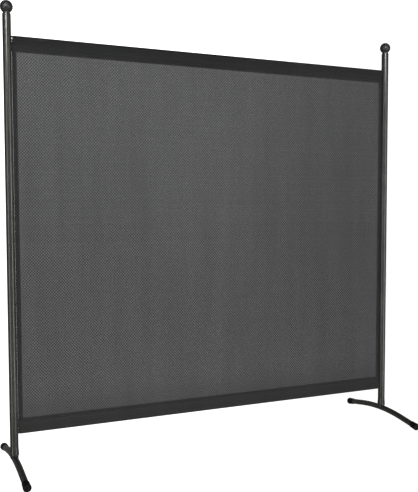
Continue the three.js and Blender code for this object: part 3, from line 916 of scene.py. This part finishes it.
def make_crossbar(bar):
    low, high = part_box(f"{bar}_crossbar")
    lip, bore = 0.2 * MM, BAR_RADIUS - BAR_WALL
    profile = [(BAR_RADIUS, x) for x in np.linspace(low.x + lip, high.x - lip, 25)]
    profile += [(BAR_RADIUS - lip, high.x), (bore + lip, high.x), (bore, high.x - lip)]
    profile += [(bore, low.x + lip), (bore + lip, low.x), (BAR_RADIUS - lip, low.x)]
    place = lambda r, a, x: (x, r * math.cos(a), BAR_HEIGHT[bar] + r * math.sin(a))
    return piece_from(f"{bar}_bar_tube", *turned(profile, even_turn(40), place))


for bar in BARS:
    settle(make_crossbar(bar), "frame", "powder_coat", f"{bar}_crossbar")


# %% Plugs, hooks and pins
def softened(node, name, bevel):
    """A copy of a CAD solid with whole faces and narrow rounded edges."""
    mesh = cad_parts[node].data.copy()
    mesh.materials.clear()
    work = bmesh.new()
    work.from_mesh(mesh)
    bmesh.ops.remove_doubles(work, verts=work.verts, dist=0.005 * MM)
    bmesh.ops.dissolve_limit(work, angle_limit=math.radians(1), verts=work.verts, edges=work.edges)
    sharp = [e for e in work.edges if e.is_manifold and e.calc_face_angle(0) > math.radians(50)]
    shape = {"segments": 2, "profile": 0.5, "affect": "EDGES", "clamp_overlap": True}
    bmesh.ops.bevel(work, geom=sharp, offset=bevel, **shape)
    work.to_mesh(mesh)
    work.free()
    clean(mesh, outwards=False)
    piece = bpy.data.objects.new(name, mesh)
    bpy.context.scene.collection.objects.link(piece)
    return piece


FITTINGS = (  # end of the node's name, of the piece's name, slot, bevel in millimetres
    ("plug", "end_plug", "plug_plastic", 0.25),
    ("hook", "steel_hook", "zinc_steel", 0.3),
    ("pin", "lock_pin", "zinc_steel", 0.3),
)
for bar in BARS:
    for side in SIDES:
        for node_end, piece_end, slot, bevel in FITTINGS:
            node = f"{bar}_{side}_{node_end}"
            settle(softened(node, f"{bar}_{side}_{piece_end}", bevel * MM), "frame", slot, node)

# %% [markdown]
# ## The cloth
#
# The whole cloth is one cut rectangle. Its sides are folded back 18 mm and sewn. Then
# its top and bottom are folded back over the bars and sewn 60 mm from the fold, which
# leaves a tunnel for each bar. So the cloth is one surface with two sets of folds: a
# path up the cloth, from the loose edge behind the bottom hem, round the lower bar,
# up the front, over the upper bar and down to the loose edge behind the top hem, and
# a path across it with a fold at each side. Distances along both paths are kept as a
# UV map, so the weave runs on round every fold. The cloth is stretched between the
# bars and hangs nowhere, so there is nothing to simulate.

# %% The path up the cloth
CLOTH_THICKNESS = 0.34 * MM
LAYER_STEP = 0.40 * MM  # from the middle of one layer to the middle of the next
HEM_HEIGHT, SIDE_HEM, NIP = 60 * MM, 18 * MM, 26 * MM
FRONT = 1.5 * LAYER_STEP  # of the front layer, out from the middle of the hem
cloth_low, cloth_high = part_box("bottom_hem")[0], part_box("top_hem")[1]
TUNNEL_RADIUS = cloth_high.z - BAR_HEIGHT["top"] - CLOTH_THICKNESS / 2
EDGE = cloth_high.x + 1.1 * MM  # the fold at the sides, close beside the posts
FIELD_STEP = 12 * MM


def over_the_bar(steps=26):
    """(y, z) from the front nip over a bar at the origin to the nip behind."""
    reach = math.hypot(FRONT, NIP)
    start = math.acos(TUNNEL_RADIUS / reach) - math.atan2(FRONT, NIP) - math.pi / 2
    sweep = [math.pi - start - (math.pi - 2 * start) * i / steps for i in range(steps + 1)]
    round_part = [(TUNNEL_RADIUS * math.cos(a), TUNNEL_RADIUS * math.sin(a)) for a in sweep]
    first, last = round_part[0], round_part[-1]
    shares = (0.12, 0.3, 0.5, 0.7, 0.88)
    flank = [(-FRONT + (first[0] + FRONT) * t, -NIP + (first[1] + NIP) * t) for t in shares]
    return [(-FRONT, -NIP), *flank, *round_part, *[(-y, z) for y, z in flank[::-1]], (FRONT, -NIP)]


def path_up():
    top = [(y, BAR_HEIGHT["top"] + z) for y, z in over_the_bar()]
    bottom = [(y, BAR_HEIGHT["bottom"] - z) for y, z in over_the_bar()][::-1]
    loose_top, loose_bottom = cloth_high.z - HEM_HEIGHT, cloth_low.z + HEM_HEIGHT
    steps = round((top[0][1] - bottom[-1][1]) / FIELD_STEP)
    field = [(-FRONT, z) for z in np.linspace(bottom[-1][1], top[0][1], steps + 1)[1:-1]]
    tail = lambda end, nip: [(FRONT, end + (nip - end) * t) for t in (0, 0.35, 0.7)]
    return tail(loose_bottom, bottom[0][1]) + bottom + field + top + tail(loose_top, top[-1][1])[::-1]


PATH = np.array(path_up())
PATH_LENGTH = np.concatenate([[0], np.cumsum(np.linalg.norm(np.diff(PATH, axis=0), axis=1))])
print("cloth path", len(PATH), "points,", round(PATH_LENGTH[-1] / MM), "mm long")


# %% The path across the cloth
def path_across():
    """(x, depth behind the outer layer) from one loose edge to the other."""
    turn = LAYER_STEP / 2
    inner = EDGE - SIDE_HEM
    bend = np.linspace(0, math.pi, 7)
    fold = [(-EDGE + turn - turn * math.sin(a), turn + turn * math.cos(a)) for a in bend]
    left = [(-inner, LAYER_STEP), (-inner - 6 * MM, LAYER_STEP), (-inner - 12 * MM, LAYER_STEP), *fold]
    near = [-EDGE + s * MM for s in (3, 6, 12, 18, 26)]
    middle = np.linspace(-EDGE + 36 * MM, EDGE - 36 * MM, round((2 * EDGE - 72 * MM) / FIELD_STEP) + 1)
    flat = [(x, 0.0) for x in near] + [(x, 0.0) for x in middle] + [(-x, 0.0) for x in near[::-1]]
    right = [(-x, depth) for x, depth in left[::-1]]
    return left + flat + right


ACROSS = np.array(path_across())
ACROSS_LENGTH = np.concatenate([[0], np.cumsum(np.linalg.norm(np.diff(ACROSS, axis=0), axis=1))])

# %% The folded surface
MOUTH_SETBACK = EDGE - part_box("top_crossbar")[1].x + 0.8 * MM
MOUTH_HEIGHT = 22 * MM


def smooth(t):
    t = min(max(t, 0.0), 1.0)
    return t * t * (3 - 2 * t)


def mouth_pull(y, z):
    """How far the corner is folded in at a tunnel's mouth, as a share from 0 to 1."""
    from_edge = min(cloth_high.z - z, z - cloth_low.z)
    return 1 - smooth((from_edge - MOUTH_HEIGHT + 3 * MM) / (4 * MM))


def make_cloth():
    steps = np.gradient(PATH, axis=0)
    steps /= np.linalg.norm(steps, axis=1)[:, None]
    inward = np.column_stack([steps[:, 1], -steps[:, 0]])
    rng = np.random.default_rng(5)
    ranges = ((3, 9), (2, 7), (0, 6.28), (0, 6.28))  # waves per metre across and up, and their phases
    ripples = [[rng.uniform(low, high) for low, high in ranges] for _ in range(6)]
    points, places = [], []
    for i, (y, z) in enumerate(PATH):
        pull = mouth_pull(y, z)
        calm = smooth(min(cloth_high.z - z, z - cloth_low.z) / (200 * MM) - 0.3)
        for j, (x, depth) in enumerate(ACROSS):
            to_edge = EDGE - abs(x)
            shift = pull * MOUTH_SETBACK * (1 - smooth((to_edge - SIDE_HEM) / (60 * MM)))
            still = calm * smooth(to_edge / (160 * MM) - 0.15)
            wave = sum(math.sin(a * x + p) * math.sin(b * z + q) for a, b, p, q in ripples) / 6
            out = depth + 0.9 * MM * still * wave
            points.append((x - math.copysign(shift, x), y + inward[i, 0] * out, z + inward[i, 1] * out))
            places.append((ACROSS_LENGTH[j], PATH_LENGTH[i]))
    wide = len(ACROSS)
    faces = [(i * wide + j, i * wide + j + 1, (i + 1) * wide + j + 1, (i + 1) * wide + j)
             for i in range(len(PATH) - 1) for j in range(wide - 1)]
    mesh = bpy.data.meshes.new("cloth")
    mesh.from_pydata(points, [], faces)
    layer = mesh.uv_layers.new(name="along_cloth")
    corners = np.zeros(len(mesh.loops), np.int64)
    mesh.loops.foreach_get("vertex_index", corners)
    layer.data.foreach_set("uv", np.array(places, np.float32)[corners].ravel())
    mesh.shade_smooth()
    return mesh


# %% Give the cloth its thickness
cloth = bpy.data.objects.new("mesh_cloth", make_cloth())
bpy.context.scene.collection.objects.link(cloth)
wall = cloth.modifiers.new("thickness", "SOLIDIFY")
wall.thickness = CLOTH_THICKNESS
wall.offset = 0
wall.use_even_offset = True
bpy.context.view_layer.update()
cloth.data = bpy.data.meshes.new_from_object(cloth.evaluated_get(bpy.context.evaluated_depsgraph_get()))
cloth.modifiers.clear()
settle(cloth, "frame", "mesh_cloth", "mesh_panel", "top_hem", "bottom_hem", "left_hem", "right_hem")

# %% [markdown]
# ## Stitching
#
# Two rows of lockstitch hold each hem. On the front and on the back a stitch is a
# short thread that dips into the cloth at both ends. Geometry Nodes put one small
# stitch after another along each row, with a slight random turn.

# %% Stitches
ROW_FROM_LOOSE_EDGE = (4.0 * MM, 10.0 * MM)
SIDE_ROW = 4.0 * MM
STITCH_PITCH = 3.4 * MM


def stitch_tree():
    t = Nodes("stitch_row", {
        "Pitch": ("Float", STITCH_PITCH),
        "Thread": ("Float", 0.26 * MM),
        "Wander": ("Float", 0.05),
        "Facing": ("Float", -1.0),
        "Seed": ("Int", 3),
        "Finish": ("Material", None),
    })
    inp = t.start.outputs
    curve = t.make("GeometryNodeMeshToCurve", (), {0: inp["Geometry"]})[0]
    spots = t.points_along(curve, inp["Pitch"])
    half = t.math("MULTIPLY", inp["Pitch"], 0.46)
    back = t.math("MULTIPLY", half, -1.0)
    sink = t.math("MULTIPLY", inp["Thread"], -1.1)
    start = t.make("ShaderNodeCombineXYZ", (), {0: sink, 2: back})[0]
    end = t.make("ShaderNodeCombineXYZ", (), {0: sink, 2: half})[0]
    crown = t.math("MULTIPLY", inp["Thread"], 1.2)
    middle = t.make("ShaderNodeCombineXYZ", (), {0: crown})[0]
    values = {"Resolution": 3, "Start": start, "Middle": middle, "End": end}
    bow = t.make("GeometryNodeCurveQuadraticBezier", (), values)[0]
    values = {"Resolution": 5, "Radius": inp["Thread"]}
    ring = t.make("GeometryNodeCurvePrimitiveCircle", {"mode": "RADIUS"}, values)[0]
    values = {"Curve": bow, "Profile Curve": ring, "Fill Caps": True}
    stitch = t.make("GeometryNodeCurveToMesh", (), values)[0]
    low = t.math("MULTIPLY", inp["Wander"], -1.0)
    lean = t.chance(low, inp["Wander"], inp["Seed"])
    outward = t.make("ShaderNodeCombineXYZ", (), {0: lean, 1: inp["Facing"], 2: lean})[0]
    axes = {"primary_axis": "Z", "secondary_axis": "X"}
    lay = t.make("FunctionNodeAxesToRotation", axes, {0: spots[1], 1: outward})[0]
    values = {"Points": spots[0], "Instance": stitch, "Rotation": lay}
    row = t.make("GeometryNodeInstanceOnPoints", (), values)[0]
    t.finish(row, inp["Finish"])
    return t.tree


STITCH = stitch_tree()
print("stitch tree has", len(STITCH.nodes), "nodes")


# %% Rows of stitches
def row_lines(front):
    """Level rows near the loose edge of each hem, and an upright row in each side hem."""
    skin = FRONT + CLOTH_THICKNESS / 2
    y = -skin if front else skin
    rows = []
    for way, loose in ((-1, cloth_low.z + HEM_HEIGHT), (1, cloth_high.z - HEM_HEIGHT)):
        for rise in ROW_FROM_LOOSE_EDGE:
            rows.append([(x, y, loose + way * rise) for x in (-EDGE + 3 * MM, EDGE - 3 * MM)])
    x = EDGE - SIDE_HEM + SIDE_ROW
    reach = 38 * MM if front else HEM_HEIGHT + 1 * MM
    y = -skin if front else -FRONT + LAYER_STEP + CLOTH_THICKNESS / 2
    for way in (-1, 1):
        rows.append([(way * x, y, z) for z in (cloth_low.z + reach, cloth_high.z - reach)])
    return rows


for front in (True, False):
    name = "front_stitches" if front else "back_stitches"
    rows = line_object(name, row_lines(front))
    facing = -1.0 if front else 1.0
    run_nodes(rows, STITCH, {"Pitch": STITCH_PITCH, "Facing": facing, "Finish": FINISH["hem_cloth"]})
    settle(rows, "frame", "hem_cloth")

# %% [markdown]
# ## Stage and light
#
# The floor and a wide dome round it are white paper that glows by itself, so both come
# out plain white, and what is seen of them through the cloth is a little brighter on
# the left than on the right. Only the camera sees them.
#
# A wide fill, low in front, lights the cloth, and a smaller one does so behind. They
# draw no highlights. Two tall strips at the left and the right draw the long streaks
# down the posts. They reach below the floor, which casts no shadow. A small softbox
# with a grid hangs high in front of each post for the bright streak under its ball,
# and the world adds an even glow.

# %% The white paper
PAPER_GLOW = 2.0  # strength of the paper's own light, shared out below
PAPER_SHADE = (0.05, 0.05, 0.05, 1)  # dark, so that the lights leave no pools on the paper
SWEEP_CENTRE = (-1.34, -2.81)  # metres, where the fans of light on the paper start
FADE_FROM, FADE_TO = 0.40, 0.60  # sine of the direction where the light starts and stops fading


def grey(value):
    return (value / PAPER_GLOW,) * 3


def paper(name, fade, low, high):
    """White paper lit from the left. `low` and `high` hold the brightness on the left and
    on the right where the fade is 0 and where it is 1. What lies behind the sweep's
    centre is lit as on the left."""
    f = Finish(name, Roughness=0.9, Specular_IOR_Level=0.0, Emission_Strength=PAPER_GLOW)
    x, y, z = f.axes(f.place())
    x, y = x - SWEEP_CENTRE[0], y - SWEEP_CENTRE[1]
    away = (x * x + y * y) ** 0.5
    share = f.span(z if fade[0] == "height" else away, *fade[1:], 0.0, 1.0)
    left = f.blend(share, grey(low[0]), grey(high[0]))
    right = f.blend(share, grey(low[1]), grey(high[1]))
    ahead = f.span(y, 0.0, 1.0, 0.0, 1.0)
    glow = f.blend(f.span(x / away, FADE_FROM, FADE_TO, 0.0, 1.0) * ahead, left, right)
    return f.feed(Base_Color=PAPER_SHADE, Emission_Color=glow)


# %% Floor
FLOOR_REACH = 60.0


def make_floor():
    turns = ((-1, -1), (1, -1), (1, 1), (-1, 1))
    corners = [(x * FLOOR_REACH, y * FLOOR_REACH, 0) for x, y in turns]
    mesh = bpy.data.meshes.new("floor")
    mesh.from_pydata(corners, [], [(0, 1, 2, 3)])
    floor = bpy.data.objects.new("floor", mesh)
    bpy.context.scene.collection.objects.link(floor)
    mesh.materials.append(paper("floor_paper", ("distance", 3.0, 20.0), (1.34, 1.06), (1.50, 1.02)))
    floor.visible_diffuse = floor.visible_glossy = floor.visible_shadow = False
    return floor


make_floor()


# %% Backdrop
DOME_RADIUS = 70.0


def make_backdrop():
    bpy.ops.mesh.primitive_uv_sphere_add(segments=64, ring_count=32, radius=DOME_RADIUS)
    dome = bpy.context.object
    dome.name = "backdrop"
    dome.data.materials.append(paper("backdrop_paper", ("height", 0.0, 14.0), (1.58, 1.10), (1.88, 1.19)))
    dome.visible_diffuse = dome.visible_glossy = False
    dome.visible_transmission = dome.visible_shadow = False
    return dome


make_backdrop()


# %% World and softboxes
def make_world(glow, shown):
    world = bpy.data.worlds.new("studio")
    world.use_nodes = True
    bpy.context.scene.world = world
    tree = world.node_tree
    back = tree.nodes["Background"]
    back.inputs["Color"].default_value = (1, 1, 1, 1)
    path = tree.nodes.new("ShaderNodeLightPath")
    pick = tree.nodes.new("ShaderNodeMapRange")
    pick.inputs["To Min"].default_value = glow
    pick.inputs["To Max"].default_value = shown
    tree.links.new(path.outputs["Is Camera Ray"], pick.inputs["Value"])
    tree.links.new(pick.outputs[0], back.inputs["Strength"])


def softbox(name, place, target, width, height, power):
    data = bpy.data.lights.new(name, "AREA")
    data.shape = "RECTANGLE"
    data.size, data.size_y = width, height
    data.energy = power
    light = bpy.data.objects.new(name, data)
    bpy.context.scene.collection.objects.link(light)
    light.location = place
    light.rotation_euler = (Vector(target) - Vector(place)).to_track_quat("-Z", "Y").to_euler()
    light.visible_camera = False
    return light


make_world(glow=0.16, shown=1.0)
fill = softbox("fill", (-1.0, -3.1, 0.25), (-0.3, 0, 0.6), 2.0, 1.2, 82)
fill.visible_glossy = False
rear_fill = softbox("rear_fill", (-1.4, 3.6, 0.3), (0, 0, 0.9), 2.0, 0.5, 55)
rear_fill.visible_glossy = False
left_strip = softbox("left_strip", (-5.1, -2.6, 0.65), (0, 0, 0.65), 0.9, 3.9, 85)
left_strip.visible_diffuse = False
softbox("right_strip", (2.4, -4.4, 0.65), (0, 0, 0.65), 0.7, 3.9, 110)
for side in SIDES:
    x = POST_AXIS[side]
    over = softbox(f"{side}_high_softbox", (x - 0.56, -1.39, 2.32), (x, 0, 1.7), 0.55, 0.8, 4)
    over.data.spread = math.radians(60)  # a grid keeps its light on this post
    over.visible_diffuse = False
bpy.context.scene.view_settings.view_transform = "Standard"
bpy.context.scene.cycles.transparent_max_bounces = 24
